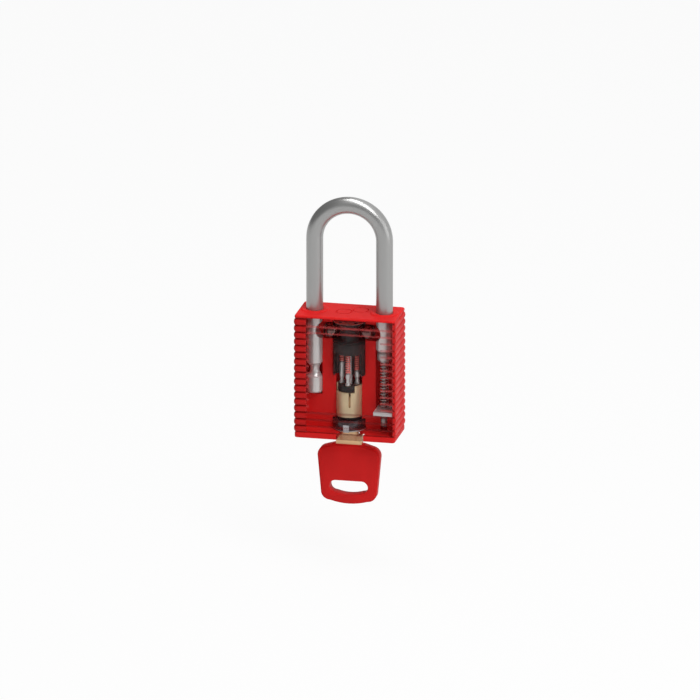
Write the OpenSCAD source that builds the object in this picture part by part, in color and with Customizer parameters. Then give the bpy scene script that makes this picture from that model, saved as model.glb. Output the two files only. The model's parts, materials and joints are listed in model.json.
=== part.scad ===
// Keyed safety padlock with a see-through front cover over its mechanism.
// Millimetres, +Z up, front towards -Y.
// The origin is the middle of the underside of the shackle's bow, where the lock hangs.

/* [Shackle] */
// Diameter of the shackle bar
shackle_d = 6.35; // [5.5:0.05:7]
// Clear width between the two legs
shackle_gap = 20.3; // [19:0.1:24]
// Clear height from the case top to the underside of the bow
shackle_clear = 38.1; // [25:0.1:76]
// Depth of the short leg inside the case
toe_depth = 14.7; // [14:0.1:18]
// Height of the short leg's end above the case top when the lock is open
toe_clear = 0.8; // [0.2:0.1:2]
// Depth of the round notches that the locking balls enter
notch_cut = 2.3; // [1.8:0.1:2.6]
// Depth of the waist round the long leg
waist_cut = 1.4; // [1.2:0.05:1.7]
// Length of the long leg below the middle of its waist
heel_tail = 9.2; // [6:0.1:11]
// Rounding of the two leg ends
leg_end_r = 1.1; // [0.5:0.1:1.5]

/* [Case] */
// Height of the case
case_h = 47.8; // [46:0.1:60]
// Plain wall outside the shackle bores
side_wall = 2.1; // [1.2:0.05:4]
// Plain wall behind the pin housing
back_wall = 2.65; // [2:0.05:6]
// Thickness of the top wall
top_wall = 0.8; // [0.6:0.1:1.6]
// Thickness of the bottom wall
bottom_wall = 2.2; // [1.2:0.1:3]
// Rounding of the upright corners
corner_r = 1.4; // [1.3:0.1:4]
// Distance from one grip rib to the next
rib_pitch = 2.6; // [2:0.05:4]
// Distance from the case top to the middle of the first rib
rib_drop = 2.65; // [2.5:0.05:4]
// Height of a grip rib above the groove
rib_depth = 0.75; // [0.3:0.05:0.9]
// Width of the plain label panels
panel_w = 27.2; // [16:0.2:28]
// Height of the plain label panels
panel_h = 31.2; // [15:0.1:32]
// Distance from the case top down to the label panels
panel_drop = 6.55; // [5:0.05:10]
// Height of the raised collars round the shackle holes
boss_h = 0.3; // [0.2:0.05:1]
// Width of those collars
boss_rim = 1.5; // [0.8:0.1:2]
// Radius of the two moulded rings on the top
ring_r = 3.1; // [1.5:0.05:3.2]
// Width and depth of the ring grooves
ring_groove = 0.35; // [0.2:0.05:0.5]

/* [Cover] */
// Reach of the keyway to the left of the key hole's middle
keyway_left = 3.1; // [2:0.1:4]
// Reach of the keyway to the right of it
keyway_right = 7.2; // [2:0.1:8]
// Thickness of the front cover over its ribs
cover_t = 2; // [1.4:0.1:2.4]
// How far the solid rear half reaches in front of the shackle's plane
cradle = 0.9; // [0.4:0.1:1.4]

/* [Locking] */
// Diameter of the locking balls
ball_d = 6.35; // [5.8:0.05:6.6]
// Travel of each ball when the key turns to lock
ball_stroke = 1.3; // [0.8:0.05:1.35]
// Radius of the cam's drums
cam_r = 6; // [5.4:0.1:6.4]
// Thickness of the drums above and below the balls
cam_drum = 0.5; // [0.4:0.1:1.2]
// Free height between the top wall and the cam
cam_gap = 3; // [2.5:0.1:4]
// Radius of the two blind holes in the cam's top
cam_hole_r = 0.7; // [0.4:0.05:1]
// Distance of those holes from the middle, sideways
cam_hole_x = 3; // [2:0.1:4]
// Distance of those holes from the middle, towards the front
cam_hole_y = 2.7; // [1:0.1:3.5]
// Depth of those holes
cam_hole_deep = 0.3; // [0.2:0.05:0.4]
// Radius of the drive rod
rod_r = 1; // [0.8:0.05:1.1]

/* [Cylinder] */
// Radius of the pin housing
housing_r = 6.2; // [5.6:0.1:6.4]
// Height of the housing's solid roof
housing_roof = 4.2; // [3:0.1:6]
// Thickness of the walls left beside the housing's opening
housing_side = 1.2; // [0.8:0.1:1.6]
// Height of the housing's open skirt
housing_skirt = 8.6; // [6:0.1:9.5]
// Room for each spring and driver pin, from the roof to the rotor
pin_room = 12.5; // [12:0.1:14]
// Distance of the pins from the middle
pin_circle = 2.9; // [2.85:0.05:3]
// Radius of the driver pins
pin_r = 1; // [0.8:0.05:1]
// Radius of the key pins' stems
stem_r = 0.6; // [0.45:0.05:0.65]
// Drop of all the pins when the key is drawn out
pin_drop = 1; // [0.6:0.05:1.1]
// Thickness of the rotor disc
disc_t = 2.4; // [2.1:0.1:3]
// Radius of the rotor's post, inside the tubular key
post_r = 2.2; // [1.9:0.05:2.2]
// Outer radius of the brass sleeve
sleeve_r = 4.95; // [4.9:0.05:5.4]
// Reach of the sleeve's cut-away past the middle
sleeve_cut = 2.8; // [1:0.1:4]
// Width of the slit in the sleeve
slit_w = 0.7; // [0.4:0.1:1.2]
// Turn of the slit from the front towards the right
slit_turn = 12; // [0:1:30]
// Height of the slit's foot above the sleeve's lower end
slit_rise = 4; // [2:0.1:6]
// Thickness of the sealing ring
seal_d = 1; // [0.8:0.05:1.2]
// Outer radius of the bottom collar
collar_r = 6.25; // [5.6:0.05:6.5]
// Height of the bottom collar
collar_h = 4.2; // [3:0.1:5]
// Width of the tab on the collar's front
tab_w = 2.2; // [1:0.1:3]
// Height of that tab
tab_h = 2.8; // [1:0.1:2.9]
// Wire of the pin springs
pin_wire = 0.35; // [0.3:0.01:0.4]
// Rise of the pin springs in one turn
pin_pitch = 0.85; // [0.82:0.01:1.2]

/* [Ejector] */
// Radius of the plunger under the short leg
plunger_r = 2.7; // [2.2:0.05:2.9]
// Height of the plunger's head
plunger_h = 3.6; // [2.5:0.1:5]
// Travel of the plunger
plunger_travel = 2.4; // [1.5:0.1:3]
// Radius of the plunger's rod
guide_r = 0.85; // [0.6:0.05:0.9]
// Radius of the foot on the rod's end
foot_r = 1.4; // [1.3:0.05:1.8]
// Height of that foot
foot_h = 3.6; // [2:0.1:4]
// Thickness of the spring clip
clip_t = 1.6; // [1:0.1:2]
// Reach of the clip from the spring's axis towards the middle
clip_in = 2.8; // [2.5:0.05:4]
// Share of the side wall that the clip is let into
clip_seat = 0.6; // [0.1:0.05:0.7]
// Depth of the clip from front to back
clip_w = 10; // [9.5:0.1:12]
// Wire of the ejector spring
ejector_wire = 0.5; // [0.4:0.02:0.6]
// Rise of the ejector spring in one turn
ejector_pitch = 1.15; // [1.05:0.05:2]

/* [Key] */
// Outer radius of the tubular key
key_r = 3.5; // [3.4:0.05:3.7]
// Gap between the rotor disc and the end of the key
key_tip_gap = 2; // [1.6:0.1:3]
// Gap between the case and the key's shoulder
key_neck = 0.3; // [0.2:0.1:4]
// Width of the key's brass shoulder
shoulder_w = 9.8; // [8:0.1:12]
// Height of the shoulder
shoulder_h = 3.6; // [2:0.1:6]
// Thickness of the shoulder
shoulder_t = 3.2; // [2.4:0.1:4]
// Length of the tang inside the bow
tang_len = 9; // [6:0.5:12]
// Width of the bow across its shoulders
bow_top_w = 23.9; // [20:0.1:28]
// Width of the bow near its end
bow_end_w = 21.3; // [18:0.1:26]
// Length of the bow
bow_len = 23.3; // [20:0.1:30]
// Thickness of the bow
bow_t = 4.6; // [4.2:0.1:6]
// Width of the bow's slot
slot_w = 14.8; // [8:0.1:16]
// Height of the bow's slot at its ends
slot_h = 4.8; // [4:0.1:5.4]
// Distance of the slot from the bow's end
slot_edge = 4.3; // [4:0.1:6]
// Sag of the slot's lower side in the middle
slot_sag = 0.8; // [0.2:0.1:1.2]
// Rounding of the bow's two lower corners
bow_end_r = 3.4; // [2:0.1:5]
// Sag of the bow's end in the middle
bow_sag = 1.1; // [0.3:0.05:2]
// Rounding of the bow's shoulders
bow_side_r = 3.6; // [3:0.1:6]
// Height of the sloping top above those shoulders
bow_slope = 1; // [0.5:0.1:4]
// Width of the bow's top beside the brass shoulder
bow_collar = 0.6; // [0.6:0.1:3]

/* [Hidden] */
$fn = 48;

// Clearances
bar_fit = 0.12;
ball_fit = 0.15;
part_fit = 0.1;
turn_fit = 0.08;
loose_fit = 0.4;
end_gap = 0.5;
press_gap = 0.03;
over = 1;

// Shackle
bar_r = shackle_d / 2;
leg_x = (shackle_gap + shackle_d) / 2;
bore_r = bar_r + bar_fit;
ball_r = ball_d / 2;
z_top = -shackle_clear;
z_bow = -shackle_gap / 2;
lift = toe_depth + toe_clear;
z_toe = z_top - toe_depth;

// Locking level, worked down from the case top
z_cam = z_top - top_wall - cam_gap;
z_ball = z_cam - cam_drum - ball_fit - ball_r;
z_cam_low = z_ball - ball_r - ball_fit - cam_drum;
z_waist = z_ball - lift;
z_heel = z_waist - heel_tail;
ball_x = leg_x - bar_r - part_fit - ball_r;
cam_short = ball_x - ball_r - ball_fit;
cam_long = ball_x + ball_stroke - ball_r - ball_fit;
cam_arc = (cam_long * cam_long + cam_short * cam_short) / (2 * cam_short);
groove_r = ball_r + 2 * ball_fit;

// Cylinder levels
z_housing = z_cam_low - part_fit;
z_seat = z_housing - housing_roof;
z_skirt = z_seat - housing_skirt;
z_shear = z_seat - pin_room;
z_disc = z_shear - disc_t;
z_case = z_top - case_h;
z_floor = z_case + bottom_wall;
z_collar = z_floor + collar_h;
z_sleeve = z_collar + seal_d + part_fit;
z_ledge = z_disc - turn_fit;
key_bore_r = key_r + ball_fit;
well_wall = 0.35;
disc_r = pin_circle + pin_r + well_wall;
disc_room_r = disc_r + part_fit;
pin_hole_r = pin_r + turn_fit;
stem_hole_r = stem_r + turn_fit;
pin_head = 0.6;
pin_well = pin_head + pin_drop + turn_fit;

// Pins: left, front, right and rear, each with its driver's length and key cut
pin_names = ["left", "front", "right", "rear"];
pin_angles = [180, 270, 0, 90];
driver_lens = [8.5, 4.6, 5.2, 6.6];
key_cuts = [0.5, 1.3, 0.9, 1.6];
pin_coil_r = pin_r - pin_wire / 2;

// Case sizes
case_w = 2 * (leg_x + bore_r + side_wall + rib_depth);
case_d = 2 * (max(housing_r, collar_r) + part_fit + back_wall + rib_depth);
front_y = -case_d / 2;
cover_back = front_y + cover_t;
cavity_w = 2 * (leg_x + bore_r);
window_top = z_top - top_wall;
key_hole_r = key_r + loose_fit;
panel_top = z_top - panel_drop;
rib_step = rib_depth * 0.3;
rib_crest = rib_pitch * 0.32;
rib_foot = rib_pitch * 0.66;
rib_margin = rib_pitch * 0.9;
rib_count = floor((case_h - rib_drop - rib_margin) / rib_pitch) + 1;
rib_top = z_top - rib_drop;
rib_low = rib_top - (rib_count - 1) * rib_pitch;
edge_step = 0.35;
band_reach = rib_pitch - rib_foot / 2;
band_top = min(rib_top + band_reach, z_top - 2 * edge_step);
band_low = max(rib_low - band_reach, z_case + 2 * edge_step);
band_in = rib_depth * 0.4;
rings = [[-1.95, -0.7], [3.8, 2.45]];

// Ejector levels, worked up from the case floor
foot_gap = 1.3;
coil_gap = 0.35;
z_foot = z_floor + foot_gap;
z_foot_top = z_foot + foot_h;
z_clip = z_foot_top + plunger_travel + ball_fit;
z_clip_top = z_clip + clip_t;
z_plunger = z_toe - part_fit;
z_plunger_low = z_plunger - plunger_h;
ejector_len = z_plunger_low - z_clip_top;
ejector_r = guide_r + ejector_wire / 2 + coil_gap;
clip_left = leg_x - clip_in;
clip_front = cover_back + 3 * part_fit;
clip_right = cavity_w / 2 + clip_seat * side_wall;
clip_slot = 2 * guide_r + loose_fit;

// Key levels
z_tip = z_disc - key_tip_gap;
z_shoulder = z_case - key_neck;
z_tang = z_shoulder - shoulder_h;
z_bow_top = z_tang;
z_bow_end = z_bow_top - bow_len;
key_in_r = post_r + ball_fit;
nib_w = 0.9;
nib_h = 0.55;
tab_out = 0.3;
tang_w = 6;
tang_t = 1.8;
bow_step = 0.5;
bow_end_turn = 80;
bow_side_turn = 73;

// A wire spring of whole turns, with a short upright run at each end
coil_steps = 8;
coil_sides = 6;
function coil_count(len, wire, pitch) = floor((len - 2 * wire) / pitch);
function coil_path(r, len, wire, turns) = concat(
    [[r, 0, 0]],
    [for (i = [0 : coil_steps * turns])
        let (turn = 360 * i / coil_steps, share = i / (coil_steps * turns))
        [r * cos(turn), r * sin(turn), wire + (len - 2 * wire) * share]],
    [[r, 0, len]]
);
function unit(v) = v / norm(v);
function along(path, i) = unit(path[min(i + 1, len(path) - 1)] - path[max(i - 1, 0)]);
function outward(p) = unit([p[0], p[1], 0]);
function ring_points(p, dir, wire) =
    let (side = unit(cross(dir, outward(p))), out = cross(side, dir))
    [for (k = [0 : coil_sides - 1])
        let (turn = 360 * k / coil_sides)
        p + wire / 2 * (cos(turn) * out + sin(turn) * side)];
function least_gap(path, wire) = min([
    for (i = [0 : len(path) - 1])
        for (j = [i + coil_steps / 2 + 1 : 1 : len(path) - 1]) norm(path[i] - path[j])
]) - wire;

module coil(r, len, wire, pitch) {
    path = coil_path(r, len, wire, coil_count(len, wire, pitch));
    last = len(path) - 1;
    n = coil_sides;
    echo(least_gap_of_spring = least_gap(path, wire));
    polyhedron(
        points = [for (i = [0 : last]) each ring_points(path[i], along(path, i), wire)],
        faces = concat(
            [for (k = [1 : n - 2]) [0, k, k + 1]],
            [for (k = [1 : n - 2]) [n * last, n * last + k + 1, n * last + k]],
            [for (i = [0 : last - 1]) for (k = [0 : n - 1])
                [n * i + k, n * i + n + k, n * i + (k + 1) % n]],
            [for (i = [0 : last - 1]) for (k = [0 : n - 1])
                [n * i + (k + 1) % n, n * i + n + k, n * i + n + (k + 1) % n]]
        )
    );
}

// An upright rod between two levels
module rod_between(r, z_low, z_high, x = 0, y = 0) {
    translate([x, y, z_low]) cylinder(r = r, h = z_high - z_low);
}

// A block between two corners
module block(low, high) {
    translate(low) cube(high - low);
}

// A slab of the case's outline, drawn in by an inset
module outline_slab(inset, z_low, z_high) {
    w = case_w - 2 * inset;
    d = case_d - 2 * inset;
    r = corner_r - inset;
    translate([0, 0, z_low]) linear_extrude(z_high - z_low) union() {
        square([w - 2 * r, d], center = true);
        square([w, d - 2 * r], center = true);
        for (sx = [-1, 1]) for (sy = [-1, 1])
            translate([sx * (w / 2 - r), sy * (d / 2 - r)]) circle(r);
    }
}

// Places its children at each pin, turned to face outwards
module at_pin(i) {
    rotate(pin_angles[i]) translate([pin_circle, 0, 0]) children();
}

module ribbed_block() {
    outline_slab(band_in + edge_step, z_case, z_case + edge_step);
    outline_slab(band_in, z_case + edge_step, band_low);
    outline_slab(rib_depth, z_case + edge_step, z_top - edge_step);
    outline_slab(band_in, band_top, z_top - edge_step);
    outline_slab(band_in + edge_step, band_top, z_top);
    for (i = [0 : rib_count - 1]) {
        z = rib_top - i * rib_pitch;
        outline_slab(rib_step, z - rib_foot / 2, z + rib_foot / 2);
        outline_slab(0, z - rib_crest / 2, z + rib_crest / 2);
    }
}

module case_body() {
    color([0.86, 0.13, 0.13]) difference() {
        union() {
            ribbed_block();
            for (s = [-1, 1])
                rod_between(bore_r + boss_rim, z_top - over / 2, z_top + boss_h, s * leg_x);
        }
        block([-case_w, front_y - over, z_floor], [case_w, -cradle, window_top]);
        block([-keyway_left, front_y - over, z_case - over], [keyway_right, 0, z_floor + over]);
        rod_between(bore_r, z_heel - end_gap, z_top + over, -leg_x);
        rod_between(bore_r, z_clip, z_top + over, leg_x);
        rod_between(foot_r + ball_fit, z_floor, z_clip, leg_x);
        block(
            [clip_left - part_fit, -cradle - over, z_clip],
            [clip_right + part_fit, clip_front + clip_w + part_fit, z_clip_top]
        );
        rod_between(max(housing_r, cam_r) + part_fit, z_skirt, z_cam + part_fit);
        rod_between(sleeve_r + part_fit, z_floor, z_skirt + over);
        rod_between(collar_r + part_fit, z_floor, z_collar);
        rod_between(key_hole_r, z_case - over, z_floor + over);
        translate([-leg_x, 0, z_ball]) rotate([0, 90, 0]) cylinder(r = ball_r + bar_fit, h = 2 * leg_x);
        block(
            [-panel_w / 2, case_d / 2 - rib_depth, panel_top - panel_h],
            [panel_w / 2, case_d / 2 + over, panel_top]
        );
        for (p = rings) translate([p[0], p[1], z_top - ring_groove]) difference() {
            cylinder(r = ring_r, h = over);
            translate([0, 0, -over]) cylinder(r = ring_r - ring_groove, h = 3 * over);
        }
    }
}

// The front half of the case's own form between its top and bottom, hollow, with a tongue over the keyway
module front_cover() {
    low = z_floor + part_fit / 2;
    high = window_top - part_fit / 2;
    color([0.86, 0.13, 0.13, 0.3]) difference() {
        intersection() {
            ribbed_block();
            union() {
                block([-case_w, front_y - over, low], [case_w, -cradle - part_fit / 2, high]);
                block(
                    [part_fit / 2 - keyway_left, front_y - over, z_case - over],
                    [keyway_right - part_fit / 2, cover_back, low + over]
                );
            }
        }
        block([-cavity_w / 2, cover_back, z_floor - over], [cavity_w / 2, over, window_top]);
        block([0, cover_back, z_clip], [clip_right + part_fit, over, z_clip_top]);
        block(
            [-panel_w / 2, front_y - over, panel_top - panel_h],
            [panel_w / 2, front_y + rib_depth, panel_top]
        );
    }
}

// A leg of round bar whose lower end is rounded off
module round_leg(x, z_low) {
    translate([x, 0, z_low]) rotate_extrude() union() {
        square([bar_r - leg_end_r, z_bow - z_low]);
        translate([0, leg_end_r]) square([bar_r, z_bow - z_low - leg_end_r]);
        intersection() {
            translate([bar_r - leg_end_r, leg_end_r]) circle(leg_end_r);
            square([bar_r, 2 * leg_end_r]);
        }
    }
}

module shackle() {
    color([0.75, 0.76, 0.77]) difference() {
        union() {
            translate([0, 0, z_bow]) rotate([90, 0, 0]) rotate_extrude(angle = 180)
                translate([leg_x, 0]) circle(bar_r);
            round_leg(-leg_x, z_heel);
            round_leg(leg_x, z_toe);
        }
        for (s = [-1, 1])
            translate([s * (leg_x - bar_r + notch_cut - groove_r), 0, z_ball])
                rotate([90, 0, 0]) cylinder(r = groove_r, h = 4 * bar_r, center = true);
        translate([-leg_x, 0, z_waist]) rotate_extrude()
            translate([bar_r - waist_cut + groove_r, 0]) circle(groove_r);
    }
}

module locking_ball(side) {
    color([0.8, 0.8, 0.82]) translate([side * ball_x, 0, z_ball]) sphere(ball_r);
}

// The part of the cam between the balls: two arcs that meet front and back
module cam_waist() {
    waist_h = z_cam - z_cam_low - cam_drum;
    translate([0, 0, z_cam_low + cam_drum / 2]) linear_extrude(waist_h) intersection() {
        translate([cam_arc - cam_short, 0]) circle(cam_arc);
        translate([cam_short - cam_arc, 0]) circle(cam_arc);
    }
}

module cam() {
    color([0.17, 0.19, 0.2]) difference() {
        union() {
            rod_between(cam_r, z_cam - cam_drum, z_cam);
            cam_waist();
            rod_between(cam_r, z_cam_low, z_cam_low + cam_drum);
        }
        rod_between(rod_r + press_gap, z_cam_low - over, z_cam - cam_drum);
        for (s = [-1, 1])
            rod_between(cam_hole_r, z_cam - cam_hole_deep, z_cam + over, s * cam_hole_x, -cam_hole_y);
    }
}

module drive_rod() {
    color([0.7, 0.71, 0.72]) rod_between(rod_r, z_disc + press_gap, z_cam - cam_drum - press_gap);
}

module pin_housing() {
    opening = housing_r - housing_side;
    color([0.17, 0.19, 0.2]) difference() {
        rod_between(housing_r, z_skirt, z_housing);
        rod_between(rod_r + turn_fit, z_skirt - over, z_housing + over);
        for (i = [0 : 3]) at_pin(i) rod_between(pin_hole_r, z_skirt - over, z_seat);
        block([-opening, -housing_r - over, z_skirt - over], [opening, -pin_hole_r / 2, z_seat]);
    }
}

module driver_pin(i) {
    color([0.82, 0.82, 0.84])
        at_pin(i) rod_between(pin_r, z_shear + press_gap, z_shear + driver_lens[i]);
}

module pin_spring(i) {
    color([0.72, 0.4, 0.3]) at_pin(i) translate([0, 0, z_shear + driver_lens[i] + press_gap])
        coil(pin_coil_r, pin_room - driver_lens[i] - 2 * press_gap, pin_wire, pin_pitch);
}

module key_pin(i) {
    color([0.8, 0.68, 0.4]) at_pin(i) {
        rod_between(pin_r, z_shear - pin_head, z_shear);
        rod_between(stem_r, z_tip - key_cuts[i] + press_gap, z_shear - pin_head / 2);
    }
}

module rotor() {
    color([0.17, 0.19, 0.2]) difference() {
        union() {
            rod_between(disc_r, z_disc, z_shear - press_gap);
            rod_between(post_r, z_floor, z_disc + disc_t / 2);
        }
        rod_between(rod_r + press_gap, z_disc, z_shear + over);
        for (i = [0 : 3]) at_pin(i) {
            rod_between(pin_hole_r, z_shear - pin_well, z_shear + over);
            rod_between(stem_hole_r, z_disc - over, z_shear);
        }
        block(
            [-nib_w / 2 - turn_fit, -2 * post_r, z_floor - over],
            [nib_w / 2 + turn_fit, -post_r + nib_h, z_disc]
        );
    }
}

module cylinder_sleeve() {
    color([0.78, 0.64, 0.36]) difference() {
        rod_between(sleeve_r, z_sleeve, z_shear + part_fit);
        rod_between(key_bore_r, z_sleeve - over, z_shear);
        rod_between(disc_room_r, z_ledge, z_shear + over);
        block([-2 * sleeve_r, -2 * sleeve_r, z_ledge], [sleeve_cut, 0, z_shear + over]);
        rotate(slit_turn)
            block([-slit_w / 2, -2 * sleeve_r, z_sleeve + slit_rise], [slit_w / 2, 0, z_ledge + over]);
    }
}

module seal_ring() {
    color([0.08, 0.08, 0.09]) translate([0, 0, z_collar + (seal_d + part_fit) / 2]) rotate_extrude()
        translate([sleeve_r - seal_d / 2, 0]) circle(d = seal_d);
}

module cylinder_collar() {
    lip = 0.6;
    color([0.24, 0.25, 0.27]) difference() {
        union() {
            rod_between(collar_r - lip, z_floor, z_collar);
            rod_between(collar_r, z_floor + lip, z_collar - lip / 2);
            block([-tab_w / 2, -collar_r - tab_out, z_floor], [tab_w / 2, 0, z_floor + tab_h]);
        }
        rod_between(key_bore_r, z_floor - over, z_collar + over);
    }
}

module plunger() {
    edge = 0.4;
    color([0.72, 0.72, 0.72]) union() {
        rod_between(plunger_r - edge, z_plunger_low, z_plunger, leg_x);
        rod_between(plunger_r, z_plunger_low + edge, z_plunger - edge, leg_x);
        rod_between(guide_r, z_foot + part_fit, z_plunger_low + edge, leg_x);
    }
}

module plunger_foot() {
    edge = 0.3;
    color([0.72, 0.72, 0.72]) difference() {
        union() {
            rod_between(foot_r - edge, z_foot, z_foot_top, leg_x);
            rod_between(foot_r, z_foot + edge, z_foot_top - edge, leg_x);
        }
        rod_between(guide_r + press_gap, z_foot + part_fit - press_gap, z_foot_top + over, leg_x);
    }
}

module ejector_spring() {
    color([0.7, 0.7, 0.7]) translate([leg_x, 0, z_clip_top + press_gap])
        coil(ejector_r, ejector_len - 2 * press_gap, ejector_wire, ejector_pitch);
}

module spring_clip() {
    color([0.8, 0.8, 0.8]) difference() {
        block(
            [clip_left, clip_front, z_clip + press_gap],
            [clip_right, clip_front + clip_w, z_clip_top - press_gap]
        );
        block([leg_x, -clip_slot / 2, z_clip - over], [clip_right + over, clip_slot / 2, z_clip_top + over]);
        rod_between(clip_slot / 2, z_clip - over, z_clip_top + over, leg_x);
    }
}

module key_shank() {
    color([0.8, 0.66, 0.38]) union() {
        difference() {
            rod_between(key_r, z_shoulder - shoulder_h / 2, z_tip);
            rod_between(key_in_r, z_floor - ball_fit, z_tip + over);
            for (i = [0 : 3]) at_pin(i)
                rod_between(stem_r + ball_fit, z_tip - key_cuts[i], z_tip + over);
        }
        block(
            [-nib_w / 2, -key_in_r - ball_fit, z_floor + over],
            [nib_w / 2, -post_r + nib_h - turn_fit, z_tip - max(key_cuts) - end_gap]
        );
        block([-shoulder_w / 2, -shoulder_t / 2, z_tang], [shoulder_w / 2, shoulder_t / 2, z_shoulder]);
        block([-tang_w / 2, -tang_t / 2, z_tang - tang_len], [tang_w / 2, tang_t / 2, z_tang + over]);
    }
}

// Points on an arc, for outlines
function arc(c, r, from, to, n = 8) = [
    for (i = [0 : n])
        let (turn = from + (to - from) * i / n)
        c + r * [cos(turn), sin(turn)]
];

// Right half of the bow's outline, from the middle of its end round to its top, drawn in by an inset
function bow_half(inset) =
    let (
        end_r = bow_end_r - inset,
        side_r = bow_side_r - inset,
        end_x = bow_end_w / 2 - inset,
        top_x = bow_top_w / 2 - inset,
        end_z = z_bow_end + inset,
        top_z = z_bow_top - inset,
        side_z = top_z - side_r - bow_slope
    )
    concat(
        [[0, end_z]],
        [for (i = [1 : 4]) [(end_x - end_r) * i / 4, end_z + bow_sag * pow(i / 4, 2)]],
        arc([end_x - end_r, end_z + bow_sag + end_r], end_r, -bow_end_turn, 0),
        arc([top_x - side_r, side_z], side_r, 0, bow_side_turn),
        [[shoulder_w / 2 + bow_collar - inset, top_z], [0, top_z]]
    );

function mirrored(half) = [for (i = [len(half) - 2 : -1 : 1]) [-half[i][0], half[i][1]]];

module bow_plate(inset, thick) {
    half = bow_half(inset);
    rotate([90, 0, 0]) linear_extrude(thick, center = true) polygon(concat(half, mirrored(half)));
}

// The slot for a ring: straight above, and sagging below as the bow's end does
module bow_slot() {
    r = slot_h / 2;
    mid = z_bow_end + slot_edge + r;
    reach = slot_w / 2 - r;
    under = [for (i = [-6 : 6]) [reach * i / 6, mid - r - slot_sag * (1 - pow(i / 6, 2))]];
    above = [[reach, mid + r], [-reach, mid + r]];
    rotate([90, 0, 0]) linear_extrude(4 * bow_t, center = true) union() {
        polygon(concat(under, above));
        for (s = [-1, 1]) translate([s * reach, mid]) circle(r);
    }
}

module key_bow() {
    color([0.72, 0.12, 0.15]) difference() {
        union() {
            bow_plate(0, bow_t - 2 * bow_step);
            bow_plate(bow_step, bow_t);
        }
        bow_slot();
        block(
            [-tang_w / 2 - press_gap, -tang_t / 2 - press_gap, z_tang - tang_len - press_gap],
            [tang_w / 2 + press_gap, tang_t / 2 + press_gap, z_bow_top + over]
        );
    }
}

case_body();
front_cover();
shackle();
locking_ball(-1);  // ball_left
locking_ball(1);  // ball_right
cam();
drive_rod();
pin_housing();
rotor();
cylinder_sleeve();
seal_ring();
cylinder_collar();
for (i = [0 : 3]) driver_pin(i);
for (i = [0 : 3]) key_pin(i);
for (i = [0 : 3]) pin_spring(i);
plunger();
plunger_foot();
ejector_spring();
spring_clip();
key_shank();
key_bow();
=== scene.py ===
import json
import math

import bmesh
import bpy
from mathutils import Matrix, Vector


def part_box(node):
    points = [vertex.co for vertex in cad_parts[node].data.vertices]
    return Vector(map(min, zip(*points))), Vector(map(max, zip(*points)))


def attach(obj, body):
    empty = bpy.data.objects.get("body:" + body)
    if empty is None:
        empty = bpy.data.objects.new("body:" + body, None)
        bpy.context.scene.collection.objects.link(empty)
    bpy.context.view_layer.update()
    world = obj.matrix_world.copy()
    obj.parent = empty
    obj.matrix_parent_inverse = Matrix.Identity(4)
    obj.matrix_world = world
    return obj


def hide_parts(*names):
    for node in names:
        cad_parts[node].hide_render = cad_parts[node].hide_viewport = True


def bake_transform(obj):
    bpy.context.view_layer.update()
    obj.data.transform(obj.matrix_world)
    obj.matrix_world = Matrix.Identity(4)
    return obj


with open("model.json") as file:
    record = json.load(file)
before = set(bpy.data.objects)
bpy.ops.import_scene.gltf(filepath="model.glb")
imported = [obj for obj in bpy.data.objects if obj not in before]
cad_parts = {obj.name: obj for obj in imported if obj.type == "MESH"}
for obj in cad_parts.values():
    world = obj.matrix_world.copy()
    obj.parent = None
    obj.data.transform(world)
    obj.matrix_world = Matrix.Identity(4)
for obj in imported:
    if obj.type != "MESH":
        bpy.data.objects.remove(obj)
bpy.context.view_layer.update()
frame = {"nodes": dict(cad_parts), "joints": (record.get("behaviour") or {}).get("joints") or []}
nodes = frame["nodes"]

# Sizes are in millimetres, and become metres only where a mesh or a place in the scene is made
MM = 0.001
PINS = ("left", "front", "right", "rear")

# The photograph's camera: degrees, pixels per millimetre, and the pixel that shows the anchor
PHOTO_SIZE = 700
PHOTO_AZIMUTH = 12.05
PHOTO_ELEVATION = 17.2
PHOTO_SCALE = 2.6733
ANCHOR = Vector((0, 0, -60))
ANCHOR_PIXEL = (349.63, 367.1)
CAMERA_DISTANCE = 6000
SENSOR = 36

# Grip ribs, label panels and walls, as the case carries them
RIB_PITCH = 2.6
RIB_DEPTH = 0.75
RIB_DROP = 2.65
RIB_COUNT = 17
BAND_IN = 0.3
BAND_ROUND = 0.65
CORNER_R = 1.4
EDGE_R = 0.45
BOSS_H = 0.3
BOSS_W = 1.55
BOSS_SLOPE = 0.55
PANEL_W = 27.2
PANEL_H = 31.2
PANEL_DROP = 6.55
PANEL_FADE = 0.45
COVER_T = 2
KEYWAY_LEFT = 3.1
KEYWAY_RIGHT = 7.2
PART_GAP = 0.05
BORE_FIT = 0.12

# The skin over the case's solid: how far it stands off, and how far it reaches inwards
SKIN_LIFT = 0.045
TOP_LIFT = 0.02
SKIN_INSET = 1.1

# The see-through part of the cover, from left to right
CLEAR_LEFT = -14.4
CLEAR_RIGHT = 18.6
CLEAR_FADE = 0.4

# Rounding of the shackle collars, at their rim and at their bore, and of the key's bow
BOSS_ROUND = 0.3
BORE_ROUND = 0.15
BOW_EDGE = 0.35

# The bright rim on the collar: where it starts and ends within the collar's outside, height and rounding
RIM_OUT = 0.1
RIM_IN = 0.7
RIM_H = 0.5
RIM_ROUND = 0.2

# A driver pin above its foot and above its top: share of its radius, height, rounding
PIN_FOOT = ((0, 0, 0), (1, 0, 0.15), (1, 0.7, 0.1), (0.76, 1.2, 0.3), (0.76, 2.2, 0.3), (1, 2.9, 0.2))
PIN_TOP = ((1, 0, 0.18), (0.42, 0, 0.05), (0.42, 0.7, 0.15), (0, 0.7, 0))

# Springs: wire, rise in one turn, closed turns at each end, and the fewest open ones
EJECTOR_WIRE = 0.5
EJECTOR_PITCH = 1.15
PIN_WIRE = 0.5
PIN_PITCH = 0.85
CLOSED_TURNS = 1
LEAST_TURNS = 2

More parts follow.
